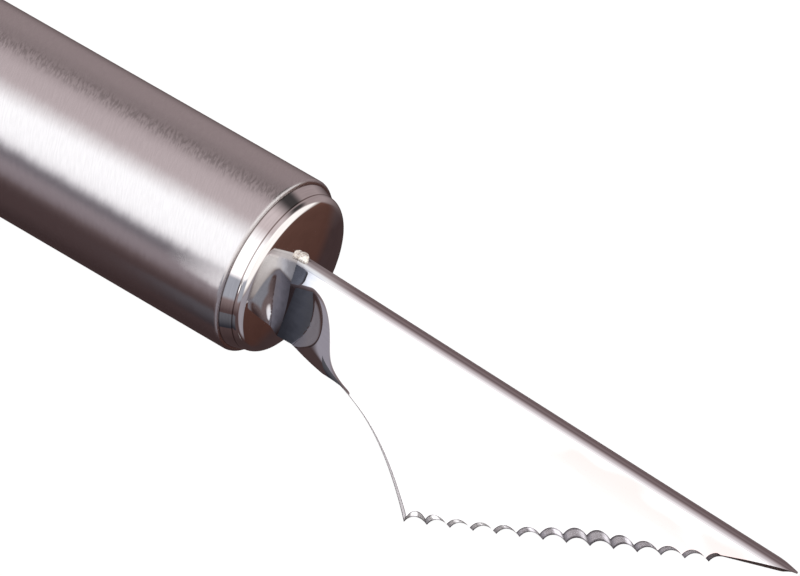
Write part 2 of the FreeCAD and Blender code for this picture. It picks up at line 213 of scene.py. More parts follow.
# Beyond the tip the room is white above the horizon and brown below it, by height of the direction
DEEP_BROWN, BROWN, WHITE = (0.060, 0.026, 0.022), (0.15, 0.075, 0.058), (1.32, 1.30, 1.27)
BROWN_TOP, WHITE_BOTTOM = -0.17, 0.07


def room_stops():
    stops = [(-180, WALL_BEHIND), (WALL_FOOT, WALL_BEHIND)]
    for first, last, level in BANDS:
        stops += [(first, level), (last, level)]
    return [(to_ramp(elevation), room_colour(level)) for elevation, level in stops]


def room_colour(level):
    green = level * min(0.60 + 0.55 * level, 0.75 + 0.17 * level, 1.03)
    return (level, green, green * 1.01)


def window(tree, direction, low, high, soft):
    """One inside a box of directions, with soft borders, and nought outside it."""
    inside = 1.0
    for part, start, end in zip(direction, low, high):
        rise = range_node(tree, part, start - soft, start + soft)
        fall = range_node(tree, part, end - soft, end + soft, 1.0, 0.0)
        inside = math_node(tree, "MULTIPLY", inside, math_node(tree, "MULTIPLY", rise, fall))
    return inside


# Patches of the room, each laid over the ones before: lowest and highest direction, softness of the
# border, colour
PATCHES = (
    # low glow in front
    ((-0.13, -1.2, 0.20), (0.28, -0.30, 0.50), 0.05, (1.50, 1.46, 1.47)),
    # doorway behind
    ((-0.22, 0.28, 0.46), (0.30, 0.98, 0.82), 0.12, (0.06, 0.055, 0.055)),
    # pale wall beyond the handle's end
    ((-1.2, -1.2, -0.36), (-0.50, -0.25, 0.30), 0.05, (0.50, 0.47, 0.54)),
    # low wall by the tip
    ((0.45, -0.85, -0.90), (1.2, 0.0, -0.12), 0.08, (0.38, 0.36, 0.40)),
    # grey column in front
    ((-0.05, -1.2, -0.20), (0.62, -0.82, 0.32), 0.06, (0.44, 0.46, 0.52)),
)


def make_world():
    world = bpy.data.worlds.new("room")
    bpy.context.scene.world = world
    world.use_nodes = True
    tree = world.node_tree
    tree.nodes.clear()
    output = tree.nodes.new("ShaderNodeOutputWorld")
    background = tree.nodes.new("ShaderNodeBackground")
    tree.links.new(background.outputs[0], output.inputs["Surface"])
    coordinates = tree.nodes.new("ShaderNodeTexCoord")
    split = tree.nodes.new("ShaderNodeSeparateXYZ")
    tree.links.new(coordinates.outputs["Generated"], split.inputs[0])
    x, y, z = split.outputs
    elevation = math_node(tree, "ARCTAN2", z, math_node(tree, "MULTIPLY", y, -1.0))
    turn = math_node(tree, "MULTIPLY_ADD", elevation, 1 / math.tau, 0.5)
    colour = ramp_node(tree, turn, room_stops())
    height = math_node(tree, "MULTIPLY_ADD", z, 0.5, 0.5)
    far_end = ramp_node(tree, height, [
        (0.0, DEEP_BROWN),
        (0.5 + 0.5 * BROWN_TOP, BROWN),
        (0.5 + 0.5 * WHITE_BOTTOM, WHITE),
    ])
    colour = mix_node(tree, range_node(tree, x, 0.30, 0.46), colour, far_end)
    for low, high, soft, patch in PATCHES:
        inside = window(tree, (x, y, z), low, high, soft)
        colour = mix_node(tree, inside, colour, patch)
    tree.links.new(colour, background.inputs["Color"])


# Floor


FLOOR_HALF = 3.0
# Share of its own light in what the camera sees of the floor; the rest takes the shadow
FLOOR_GLOW_SHARE, FLOOR_GLOW = 0.93, 1.06


def make_floor():
    """Pale floor: white to the camera with a faint shadow, and left out of what the metal reflects."""
    half = FLOOR_HALF
    mesh = bpy.data.meshes.new("floor")
    corners = [(-half, -half, 0), (half, -half, 0), (half, half, 0), (-half, half, 0)]
    mesh.from_pydata(corners, [], [(0, 1, 2, 3)])
    floor = bpy.data.objects.new("floor", mesh)
    bpy.context.scene.collection.objects.link(floor)
    material, tree, shader = new_material("pale_floor")
    shader.inputs["Base Color"].default_value = (0.85, 0.85, 0.85, 1)
    shader.inputs["Roughness"].default_value = 0.9
    glow = tree.nodes.new("ShaderNodeEmission")
    glow.inputs["Strength"].default_value = FLOOR_GLOW
    mix = tree.nodes.new("ShaderNodeMixShader")
    path = tree.nodes.new("ShaderNodeLightPath")
    share = math_node(tree, "MULTIPLY", path.outputs["Is Camera Ray"], FLOOR_GLOW_SHARE)
    tree.links.new(share, mix.inputs[0])
    tree.links.new(shader.outputs[0], mix.inputs[1])
    tree.links.new(glow.outputs[0], mix.inputs[2])
    output = next(node for node in tree.nodes if node.type == "OUTPUT_MATERIAL")
    tree.links.new(mix.outputs[0], output.inputs["Surface"])
    mesh.materials.append(material)
    floor.visible_glossy = False


def make_card(name, middle, across, upwards, colour, low_colour=None, grid=None):
    """A glowing card that only shows in reflections, shaded from bottom to top or behind a grid.

    A grid is a direction and two angles: rays along it see the card, rays farther off than that don't.
    """
    mesh = bpy.data.meshes.new(name)
    corners = [middle - across - upwards, middle + across - upwards]
    corners += [middle + across + upwards, middle - across + upwards]
    mesh.from_pydata([tuple(c) for c in corners], [], [(0, 1, 2, 3)])
    card = bpy.data.objects.new(name, mesh)
    bpy.context.scene.collection.objects.link(card)
    material = bpy.data.materials.new(name)
    material.use_nodes = True
    tree = material.node_tree
    tree.nodes.clear()
    glow = tree.nodes.new("ShaderNodeEmission")
    glow.inputs["Color"].default_value = (*colour, 1)
    if low_colour:
        geometry = tree.nodes.new("ShaderNodeNewGeometry")
        from_middle = vector_node(tree, "SUBTRACT", geometry.outputs["Position"], tuple(middle))
        rise = vector_node(tree, "DOT_PRODUCT", from_middle, tuple(upwards / upwards.length_squared))
        shade = mix_node(tree, range_node(tree, rise, -1.0, 1.0), low_colour, colour)
        tree.links.new(shade, glow.inputs["Color"])
    if grid:
        geometry = tree.nodes.new("ShaderNodeNewGeometry")
        direction, full, none = grid
        towards = tuple(-direction.normalized())
        along_it = vector_node(tree, "DOT_PRODUCT", geometry.outputs["Incoming"], towards)
        limits = [math.cos(math.radians(angle)) for angle in (none, full)]
        see_through = tree.nodes.new("ShaderNodeBsdfTransparent")
        mix = tree.nodes.new("ShaderNodeMixShader")
        tree.links.new(range_node(tree, along_it, *limits), mix.inputs[0])
        tree.links.new(see_through.outputs[0], mix.inputs[1])
        tree.links.new(glow.outputs[0], mix.inputs[2])
    output = tree.nodes.new("ShaderNodeOutputMaterial")
    tree.links.new((mix if grid else glow).outputs[0], output.inputs["Surface"])
    mesh.materials.append(material)
    card.visible_camera = False
    card.visible_diffuse = False
    card.visible_shadow = False


# Metals


def metal(name, colour, roughness):
    material, tree, shader = new_material(name)
    shader.inputs["Base Color"].default_value = (*colour, 1)
    shader.inputs["Metallic"].default_value = 1.0
    shader.inputs["Roughness"].default_value = roughness
    return material, tree, shader


# A coarser track of brushing runs along the handle's back, this far round from its top
TRACK_AROUND, TRACK_HALF_WIDTH = 0.6, 1.6


def handle_place(tree):
    """Where a point is on the handle, in millimetres: along the axis and round it, and the way round."""
    geometry = tree.nodes.new("ShaderNodeNewGeometry")
    from_seam = vector_node(tree, "SUBTRACT", geometry.outputs["Position"], tuple(SEAM))
    along = math_node(tree, "MULTIPLY", vector_node(tree, "DOT_PRODUCT", from_seam, tuple(LONG)), 1 / MM)
    across = vector_node(tree, "DOT_PRODUCT", from_seam, tuple(ACROSS))
    up = vector_node(tree, "DOT_PRODUCT", from_seam, tuple(UP))
    around = math_node(tree, "MULTIPLY", math_node(tree, "ARCTAN2", across, up), TUBE_RADIUS)
    ring = vector_node(tree, "NORMALIZE", vector_node(tree, "CROSS_PRODUCT", tuple(LONG), from_seam))
    return along, around, ring, geometry.outputs["Normal"]


def streaks(tree, along, around, width, length, detail=2.0):
    """Noise drawn out round the handle, in strokes of about this width and length in millimetres."""
    over_width = math_node(tree, "DIVIDE", along, width)
    over_length = math_node(tree, "DIVIDE", around, length)
    return noise_node(tree, combine_node(tree, over_width, over_length, 0.0), detail)


def brushed_steel():
    """Brushed round the handle, very finely but for a coarser track along its back."""
    material, tree, shader = metal("brushed_handle_steel", (0.62, 0.59, 0.60), 0.26)
    shader.inputs["Anisotropic"].default_value = 0.92
    along, around, ring, normal = handle_place(tree)
    tangent = vector_node(tree, "NORMALIZE", tuple(LONG))
    tree.links.new(tangent, shader.inputs["Tangent"])
    wander = math_node(tree, "MULTIPLY_ADD", streaks(tree, along, around, 3.0, 50.0), 1.2, -0.6)
    from_track = math_node(tree, "SUBTRACT", around, TRACK_AROUND)
    from_track = math_node(tree, "ABSOLUTE", math_node(tree, "ADD", from_track, wander))
    track = range_node(tree, from_track, 0.3, TRACK_HALF_WIDTH, 1.0, 0.0)
    fine = streaks(tree, along, around, 0.13, 1.2)
    broad = streaks(tree, along, around, 1.1, 3.0, 1.0)
    amount = math_node(tree, "MULTIPLY_ADD", track, 0.10, 0.030)
    tilt = math_node(tree, "MULTIPLY", math_node(tree, "SUBTRACT", fine, 0.5), amount)
    sway = math_node(tree, "MULTIPLY", math_node(tree, "SUBTRACT", broad, 0.5), 0.03)
    lean = vector_node(tree, "SCALE", ring)
    tree.links.new(math_node(tree, "ADD", tilt, sway), lean.node.inputs["Scale"])
    brushed_normal = vector_node(tree, "NORMALIZE", vector_node(tree, "ADD", normal, lean))
    tree.links.new(brushed_normal, shader.inputs["Normal"])
    # the strokes lean a little, as a belt leaves them
    leaning = math_node(tree, "MULTIPLY_ADD", around, 0.35, along)
    grain = range_node(tree, streaks(tree, leaning, around, 0.18, 1.6, 3.0), 0.3, 0.7)
    colour = mix_node(tree, grain, (0.602, 0.572, 0.582), (0.638, 0.608, 0.618))
    strokes = range_node(tree, streaks(tree, leaning, around, 0.28, 1.1), 0.42, 0.60)
    marked = mix_node(tree, strokes, (0.66, 0.63, 0.64), (0.43, 0.405, 0.41))
    colour = mix_node(tree, math_node(tree, "MULTIPLY", track, 0.75), colour, marked)
    tree.links.new(colour, shader.inputs["Base Color"])
    return material


def blade_place(tree):
    """Where a point is in the blade's own drawing, in millimetres."""
    geometry = tree.nodes.new("ShaderNodeNewGeometry")
    fold = on_blade(0, 0, 0)
    from_fold = vector_node(tree, "SUBTRACT", geometry.outputs["Position"], tuple(fold))
    ways = (on_blade(1, 0, 0) - fold, on_blade(0, 1, 0) - fold, on_blade(0, 0, 1) - fold)
    parts = [vector_node(tree, "DOT_PRODUCT", from_fold, tuple(way.normalized())) for way in ways]
    return [math_node(tree, "MULTIPLY", part, 1 / MM) for part in parts]


def blade_noise(tree, x, z, length, height, detail):
    """Noise drawn out along the blade, in patches of about this length and height in millimetres."""
    over_length = math_node(tree, "DIVIDE", x, length)
    over_height = math_node(tree, "DIVIDE", z, height)
    return noise_node(tree, combine_node(tree, over_length, 0.0, over_height), detail)


# Painted reflection: the bent sheet is darker than the leaves, with one dark and one light painted
# reflection line along its crest.
# Angles are degrees round the fold, from its crest to the far side
LEAF_TONE, BEND_REFLECTION_TONE, DARK_REFLECTION_LINE, LIGHT_REFLECTION_LINE = 0.64, 0.33, 0.17, 0.43
FOLD_REFLECTION_TONES = (
    (-54, LEAF_TONE),
    (-36, BEND_REFLECTION_TONE),
    (-19, BEND_REFLECTION_TONE),
    (-11, DARK_REFLECTION_LINE),
    (5, LIGHT_REFLECTION_LINE),
    (15, BEND_REFLECTION_TONE),
    (40, BEND_REFLECTION_TONE),
    (60, LEAF_TONE),
)


FOLD_SPAN = 120.0
# How far the weld's heat tint reaches from the cap, and how much its border wanders, in millimetres
HEAT_REACH, HEAT_WAVE = 10.0, 1.6


def fold_reflection_colour(tone):
    """The darker the painted reflection on the bent sheet, the browner it is."""
    return (tone, tone * (0.80 + 0.20 * tone), tone * (0.83 + 0.18 * tone))


def mirror_steel():
    """Mirror-polished sheet, with a darker and browner painted reflection where it is bent."""
    material, tree, shader = metal("polished_blade_steel", (0.56, 0.55, 0.555), 0.03)
    x, y, z = blade_place(tree)
    turn = math_node(tree, "ARCTAN2", y, z)
    place_on_fold = math_node(tree, "MULTIPLY_ADD", turn, math.degrees(1) / FOLD_SPAN, 0.5)
    # painted reflection: tones round the fold, darker on the bent sheet, with a dark and a light line on
    # its crest
    bent = ramp_node(tree, place_on_fold, [
        (0.5 + angle / FOLD_SPAN, fold_reflection_colour(tone)) for angle, tone in FOLD_REFLECTION_TONES
    ])
    on_fold = range_node(tree, z, 0.42, 0.50)
    on_fold = math_node(tree, "MULTIPLY", on_fold, range_node(tree, x, 6.0, 13.0, 0.25, 1.0))
    # a faint warm bloom below the fold, and polishing marks along the blade
    marks = blade_noise(tree, x, z, 6.0, 0.25, 3.0)
    flat = mix_node(tree, range_node(tree, marks, 0.3, 0.7), (0.55, 0.54, 0.545), (0.575, 0.565, 0.57))
    patches = blade_noise(tree, x, z, 9.0, 3.0, 1.0)
    bloom = math_node(tree, "MULTIPLY", range_node(tree, z, -6.0, -0.5), range_node(tree, x, 24.0, 44.0))
    bloom = math_node(tree, "MULTIPLY", bloom, range_node(tree, patches, 0.38, 0.62))
    flat = mix_node(tree, bloom, flat, (0.55, 0.45, 0.44))
    colour = mix_node(tree, on_fold, flat, bent)
    # the weld's heat has left a grey blue tint that fades away from the cap
    wave = noise_node(tree, combine_node(tree, x, math_node(tree, "MULTIPLY", y, 0.5), z))
    wave = math_node(tree, "MULTIPLY", math_node(tree, "SUBTRACT", wave, 0.5), HEAT_WAVE)
    reach = math_node(tree, "ADD", x, wave)
    heat = ramp_node(tree, math_node(tree, "DIVIDE", reach, HEAT_REACH), [
        (0.30, (0.30, 0.31, 0.34)),
        (0.45, (0.42, 0.44, 0.50)),
        (0.60, (0.74, 0.78, 0.86)),
        (0.80, (1.0, 1.0, 1.0)),
    ])
    below_fold = range_node(tree, z, 0.55, 0.85, 1.0, 0.15)
    tinted = mix_node(tree, 1.0, colour, heat, "MULTIPLY")
    colour = mix_node(tree, below_fold, colour, tinted)
    tree.links.new(colour, shader.inputs["Base Color"])
    return material


def cap_steel_with_shaded_corners():
    """Polished cap with faint turning marks, and painted shade darkening the seam and the shoulder's
    corner.
    """
    material, tree, shader = metal("polished_cap_steel", (0.80, 0.77, 0.77), 0.05)
    along, around, ring, normal = handle_place(tree)
    half = HANDLE_LENGTH / MM / 2
    from_middle = math_node(tree, "ABSOLUTE", math_node(tree, "ADD", along, half))
    from_end = math_node(tree, "SUBTRACT", from_middle, half)
    # painted shade: a dark line in the base colour at the seam's gap and at the shoulder's corner
    out_of_corner_shade = 1.0
    for corner, width in ((0.0, 0.16), (SHOULDER_LENGTH - 0.02, 0.12)):
        away = math_node(tree, "ABSOLUTE", math_node(tree, "SUBTRACT", from_end, corner))
        out_of_corner_shade = math_node(tree, "MULTIPLY", out_of_corner_shade, range_node(tree, away, 0.3 * width, width))
    marks = range_node(tree, streaks(tree, along, around, 0.25, 4.0), 0.35, 0.65, 0.93, 1.0)
    steel = mix_node(tree, marks, (0.0, 0.0, 0.0), (0.80, 0.77, 0.77))
    colour = mix_node(tree, out_of_corner_shade, (0.27, 0.22, 0.21), steel)
    tree.links.new(colour, shader.inputs["Base Color"])
    return material


STROKES_PER_SCALLOP = 40.0


def ground_edge_steel():
    """Wheel-ground steel: painted shade in the cusps and along its borders, painted light toward the heel.
    """
    material, tree, shader = new_material("ground_edge_steel")
    shader.inputs["Metallic"].default_value = 0.60
    shader.inputs["Roughness"].default_value = 0.24
    coordinates = tree.nodes.new("ShaderNodeUVMap")
    coordinates.uv_map = "grind"
    split = tree.nodes.new("ShaderNodeSeparateXYZ")
    tree.links.new(coordinates.outputs[0], split.inputs[0])
    across, scallop = split.outputs[0], split.outputs[1]
    x = blade_place(tree)[0]
    strokes = math_node(tree, "MULTIPLY", scallop, STROKES_PER_SCALLOP)
    wander = math_node(tree, "MULTIPLY", across, 1.5)
    grain = noise_node(tree, combine_node(tree, strokes, wander, 0.0))
    # painted light: bright toward the heel, grey beyond it, and painted shade toward the tip
    bright, grey, dark = (0.99, 0.975, 0.98), (0.82, 0.79, 0.835), (0.11, 0.078, 0.072)
    tone = mix_node(tree, range_node(tree, x, 37.0, 43.0), bright, grey)
    tone = mix_node(tree, range_node(tree, x, 60.0, 65.0), tone, dark)
    tone = mix_node(tree, range_node(tree, scallop, -0.30, -0.05), (0.90, 0.86, 0.88), tone)
    tree.links.new(range_node(tree, scallop, -0.30, -0.05, 0.15, 0.60), shader.inputs["Metallic"])
    shade = mix_node(tree, grain, (0.90, 0.90, 0.90), (1.08, 1.08, 1.08))
    grained = mix_node(tree, 1.0, tone, shade, "MULTIPLY")
    # painted shade: the cusps and both borders of the grind are darkened toward near black
    in_scallop = math_node(tree, "FRACT", scallop)
    from_cusp = math_node(tree, "PINGPONG", in_scallop, 0.5)
    out_of_cusp_shade = range_node(tree, from_cusp, 0.0, 0.22, 0.35, 1.0)
    inner_border = range_node(tree, across, 0.08, 0.30, 0.18, 1.0)
    outer_border = range_node(tree, across, 0.72, 0.94, 1.0, 0.28)
    border = math_node(tree, "MINIMUM", inner_border, outer_border)
    light = math_node(tree, "MULTIPLY", out_of_cusp_shade, border)
    colour = mix_node(tree, light, (0.045, 0.035, 0.045), grained)
    tree.links.new(colour, shader.inputs["Base Color"])
    return material


def weld_steel_with_skin():
    """Weld metal: rough, wrinkled, with a straw tint."""
    material, tree, shader = metal("weld_metal", (0.88, 0.84, 0.76), 0.36)
    shader.inputs["Metallic"].default_value = 0.7
    geometry = tree.nodes.new("ShaderNodeNewGeometry")
    in_mm = vector_node(tree, "SCALE", geometry.outputs["Position"])
    in_mm.node.inputs["Scale"].default_value = 1 / MM
    wrinkles = noise_node(tree, vector_node(tree, "MULTIPLY", in_mm, (5.0, 5.0, 5.0)), 3.0)
    bump = tree.nodes.new("ShaderNodeBump")
    bump.inputs["Distance"].default_value = 0.00012
    bump.inputs["Strength"].default_value = 0.5
    tree.links.new(wrinkles, bump.inputs["Height"])
    tree.links.new(bump.outputs[0], shader.inputs["Normal"])
    tint = mix_node(tree, range_node(tree, wrinkles, 0.4, 0.62), (0.78, 0.72, 0.64), (1.0, 0.98, 0.94))
    tree.links.new(tint, shader.inputs["Base Color"])
    return material


# Meshes

CREASE_ANGLE = 24.0
ROUND_SEGMENTS = 180


def add_piece(name, points, faces, materials, node, slot, indices=None):
    """A smooth mesh with sharp creases that stands for a node of the frame."""
    mesh = bpy.data.meshes.new(name)
    mesh.from_pydata([tuple(point) for point in points], [], faces)
    for material in materials:
        mesh.materials.append(material)
    mesh.polygons.foreach_set("use_smooth", [True] * len(faces))
    if indices:
        mesh.polygons.foreach_set("material_index", indices)
    mesh.update()
    mesh.set_sharp_from_angle(angle=math.radians(CREASE_ANGLE))
    piece = bpy.data.objects.new(name, mesh)
    bpy.context.scene.collection.objects.link(piece)
    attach(piece, "root")
    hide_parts(node)
    return piece


def arc(middle_x, middle_r, radius, start, end, steps):
    """Points of a profile round a centre, by angles from straight out to straight ahead."""
    angles = [math.radians(start + (end - start) * i / steps) for i in range(steps + 1)]
    return [(middle_x + radius * math.sin(a), middle_r + radius * math.cos(a)) for a in angles]


def turned_mesh(profile, facing=1, offset=0.0):
    """A closed profile, as pairs of place along and radius, turned about the handle's axis."""
    points, faces = [], []
    count = len(profile)
    for i in range(ROUND_SEGMENTS):
        around = math.tau * i / ROUND_SEGMENTS
        for along, radius in profile:
            y, z = radius * math.sin(around), radius * math.cos(around)
            points.append(place(offset + facing * along, y, z))
    for i in range(ROUND_SEGMENTS):
        here, there = i * count, (i + 1) % ROUND_SEGMENTS * count
        for j in range(count):
            k = (j + 1) % count
            quad = (here + j, here + k, there + k, there + j)
            faces.append(quad if facing > 0 else quad[::-1])
    return points, faces


# Handle and caps

TUBE_RADIUS, TUBE_WALL, TUBE_LENGTH = 11.0, 0.8, 125.0
RIM_ROUND = 0.45
SPIGOT_RADIUS, SPIGOT_LENGTH = 10.15, 7.0
FLANGE_RADIUS, NOSE_RADIUS = 10.47, 9.95
SHOULDER_LENGTH, NOSE_ROUND, NOSE_TURN = 1.54, 1.2, 66.0
DOME_RADIUS = 36.0
AXIS_HOLE = 0.02


FLANGE_ROUND = 0.05
NOSE_STEPS, DOME_STEPS = 16, 24


def cap_profile():
    """From the spigot's end over flange, shoulder and rounded nose to the middle of the dome."""
    profile = [(-SPIGOT_LENGTH, AXIS_HOLE), (-SPIGOT_LENGTH, SPIGOT_RADIUS), (0.0, SPIGOT_RADIUS)]
    profile += arc(FLANGE_ROUND, FLANGE_RADIUS - FLANGE_ROUND, FLANGE_ROUND, -90, -10, 3)
    profile += [(SHOULDER_LENGTH - 0.06, NOSE_RADIUS + 0.02)]
    nose = arc(SHOULDER_LENGTH, NOSE_RADIUS - NOSE_ROUND, NOSE_ROUND, 3, NOSE_TURN, NOSE_STEPS)
    rim_x, rim_r = nose[-1]
    edge_turn = math.asin(rim_r / DOME_RADIUS)
    middle = rim_x - DOME_RADIUS * math.cos(edge_turn)
    for i in range(1, DOME_STEPS):
        turn = edge_turn * (1 - i / DOME_STEPS)
        nose.append((middle + DOME_RADIUS * math.cos(turn), DOME_RADIUS * math.sin(turn)))
    return profile + nose + [(middle + DOME_RADIUS, AXIS_HOLE)]


def dome_x(radius):
    """How far ahead of the seam the dome's face lies at a radius."""
    rim_x = SHOULDER_LENGTH + NOSE_ROUND * math.sin(math.radians(NOSE_TURN))
    rim_r = NOSE_RADIUS - NOSE_ROUND + NOSE_ROUND * math.cos(math.radians(NOSE_TURN))
    rise = DOME_RADIUS - math.sqrt(DOME_RADIUS ** 2 - rim_r ** 2)
    return rim_x + rise - (DOME_RADIUS - math.sqrt(DOME_RADIUS ** 2 - radius ** 2))


def tube_profile():
    outer, inner, rear = TUBE_RADIUS, TUBE_RADIUS - TUBE_WALL, -TUBE_LENGTH
    profile = [(rear, inner)]
    profile += arc(rear + RIM_ROUND, outer - RIM_ROUND, RIM_ROUND, -90, 0, 8)
    profile += arc(-RIM_ROUND, outer - RIM_ROUND, RIM_ROUND, 0, 90, 8)
    return profile + [(0.0, inner)]


# Blade: one folded sheet, by formula. Lengths are millimetres from the centre of its fold

FOLD_HEIGHT, FOLD_FALL = 3.25, math.radians(3.85)
FOLD_RADIUS, SHEET = 1.0, 0.8
LEAF_ANGLE = math.radians(30.0)
ROOT_DEPTH = 3.0
REAR_DEPTH, REAR_START, REAR_BEND = 10.08, 11.6, 19.5
HEEL, LAST_CUSP = (27.85, 20.27), (63.13, 3.94)
SCALLOPS, WHEEL_RADIUS, WHEEL_LEAN = 13, 2.34, math.radians(45)
BARE_START, TIP_REACH, TIP_END = (64.4, 2.5), 73.2, 0.12
FOLD_ROWS, LEG_ROWS, SCALLOP_STEPS = 7, 46, 12
# Squeezed neck: how fast its wall leaves the leaf's plane, over what length it bends
SQUEEZE_SLOPE, SQUEEZE_BEND = 0.344, 0.85
SQUEEZE_TOP, SQUEEZE_TOP_AT_CAP = 1.1, 2.0
# Over this length from here back toward the cap the squeeze starts lower down
TOP_FALL_START, TOP_FALL_LENGTH = 6.6, 3.0
# The neck's flat wall ends in a curved crease: its farthest reach, how far it bows, and round which run
CREASE_REACH, CREASE_BOW, CREASE_MIDDLE, CREASE_HALF = 7.5, 1.5, 5.0, 4.6
# The flare opens with the root of the run, and its lip swings out near the rear edge
FLARE_REACH, FLARE_OPENING, FLARE_LIP, FLARE_LIP_RUN, FLARE_LIP_POWER = 7.3, 2.0, 2.6, 9.7, 10
FLARE_LIMIT, SHORTEST_FLARE = 18.0, 0.3
# Ground rear edge: its width, how much wider it gets toward the heel, and where each begins
REAR_GRIND, REAR_GRIND_RUN_IN = 0.58, 3.0
HEEL_GRIND, HEEL_GRIND_START = 0.42, 17.0
HEEL_CORNER = 2.5
# Bevels of the scallops, and where along the count the wide ones are
BEVEL, HEEL_BEVEL, WIDE_BEVEL = 0.56, 0.42, 0.89
HEEL_BEVEL_AT, WIDE_BEVEL_AT = (0.5, 1.1), (8.2, 2.2)
LAST_ARC = 1.7
# Bare edge: how much it bows, how early the inner skin ends, and where the inner skin closes up
BARE_STEPS, BARE_BOW, INNER_LEAD = 26, 0.52, 1.08
CLOSING_START, CLOSING_LENGTH, CLOSING = 71.4, 1.8, 0.6
# The ground rear edge and the first scallop's grind meet here, from the heel's corner
HEEL_MITRE = (0.348, -1.153)


def on_blade(x, y, z):
    """A point of the blade's own drawing, whose fold lies along X, in the row frame."""
    along = x * math.cos(FOLD_FALL) + z * math.sin(FOLD_FALL)
    up = FOLD_HEIGHT - x * math.sin(FOLD_FALL) + z * math.cos(FOLD_FALL)
    return place(along, y, up)


def clamp(value):
    return min(max(value, 0.0), 1.0)


def crease_reach(run):
    """Where the flat wall of the neck ends, at a run down the leaf."""
    return CREASE_REACH - CREASE_BOW * ((run - CREASE_MIDDLE) / CREASE_HALF) ** 2


def flare_reach(run):
    """Where the flare has come out to the leaf's plane."""
    run = min(run, REAR_DEPTH)
    opening = FLARE_OPENING * math.sqrt(max(run - SQUEEZE_TOP, 0.0))
    return FLARE_REACH + opening + FLARE_LIP * (run / FLARE_LIP_RUN) ** FLARE_LIP_POWER


def squeeze(x, run):
    """How far the sheet is pressed in from the leaf's plane."""
    lowered = clamp((TOP_FALL_START - x) / TOP_FALL_LENGTH)
    top = SQUEEZE_TOP + (SQUEEZE_TOP_AT_CAP - SQUEEZE_TOP) * lowered
    down = run - top
    if down <= 0 or x > FLARE_LIMIT:
        return 0.0
    bent = min(down, SQUEEZE_BEND)
    depth = SQUEEZE_SLOPE * (bent ** 2 / (2 * SQUEEZE_BEND) + down - bent)
    start, end = crease_reach(run), flare_reach(run)
    share = clamp((x - start) / max(end - start, SHORTEST_FLARE))
    return depth * (1 - share) ** 2


def skin_point(x, along_skin, radius, side):
    """A point at a distance along the skin from the crest of the fold."""
    bend = (math.pi / 2 - LEAF_ANGLE) * radius
    if along_skin < bend:
        turn = along_skin / radius
        return on_blade(x, side * radius * math.sin(turn), radius * math.cos(turn))
    run = along_skin - bend
    out = radius - squeeze(x, run)
    across = out * math.cos(LEAF_ANGLE) + run * math.sin(LEAF_ANGLE)
    up = out * math.sin(LEAF_ANGLE) - run * math.cos(LEAF_ANGLE)
    return on_blade(x, side * across, up)


def rear_run(x):
    """Depth of the rear edge, straight along the neck and then a curve down to the heel."""
    if x <= REAR_START:
        return REAR_DEPTH
    linear, square = 2 * (REAR_BEND - REAR_START), HEEL[0] - 2 * REAR_BEND + REAR_START
    share = (math.sqrt(linear ** 2 + 4 * square * (x - REAR_START)) - linear) / (2 * square)
    return REAR_DEPTH + (HEEL[1] - REAR_DEPTH) * share ** 2


def bevel_width(number):
    """The ground scallops are wide beyond the middle of the edge and at the heel."""
    at_heel, beyond_middle = (
        math.exp(-(((number - middle) / spread_out) ** 2))
        for middle, spread_out in (HEEL_BEVEL_AT, WIDE_BEVEL_AT)
    )
    return BEVEL + HEEL_BEVEL * at_heel + WIDE_BEVEL * beyond_middle


def blend(first, second, share):
    return tuple(a + (b - a) * share for a, b in zip(first, second))


def spread(start, end, steps):
    return [start + (end - start) * i / steps for i in range(steps)]


def edge_stations():
    """The edge from root to tip: reach and run at the inner skin, offset to the outer, scallop count."""
    stations = []
    reaches = spread(-ROOT_DEPTH, 3.0, 3) + spread(3.0, 16.0, 68) + spread(16.0, HEEL[0], 30)
    for x in reaches:
        grind = REAR_GRIND * clamp((x - REAR_START) / REAR_GRIND_RUN_IN)
        grind += HEEL_GRIND * clamp((x - HEEL_GRIND_START) / (HEEL[0] - HEEL_GRIND_START))
        slope = (rear_run(x + 0.01) - rear_run(x - 0.01)) / 0.02
        grind /= math.hypot(1.0, slope)
        corner = clamp((x - HEEL[0] + HEEL_CORNER) / HEEL_CORNER) ** 2
        offset = blend((grind * slope, -grind), HEEL_MITRE, corner)
        stations.append(((x, rear_run(x)), offset, -0.5))
    step = [(b - a) / SCALLOPS for a, b in zip(HEEL, LAST_CUSP)]
    length = math.hypot(*step)
    along = [part / length for part in step]
    inwards = (along[1], -along[0])
    half = length / 2
    shallow = math.sqrt(WHEEL_RADIUS ** 2 - half ** 2)
    for number in range(SCALLOPS + 1):
        for i in range(SCALLOP_STEPS):
            place_on_arc = length * i / SCALLOP_STEPS
            if number == SCALLOPS and place_on_arc > LAST_ARC:
                break
            depth = math.sqrt(WHEEL_RADIUS ** 2 - (place_on_arc - half) ** 2) - shallow
            depth /= math.sin(WHEEL_LEAN)
            x = HEEL[0] + step[0] * number + along[0] * place_on_arc + inwards[0] * depth
            run = HEEL[1] + step[1] * number + along[1] * place_on_arc + inwards[1] * depth
            scallop = number + i / SCALLOP_STEPS
            offset = [part * bevel_width(scallop) for part in inwards]
            offset = blend(HEEL_MITRE, offset, clamp(scallop / 1.5))
            stations.append(((x, run), offset, scallop))
    return stations


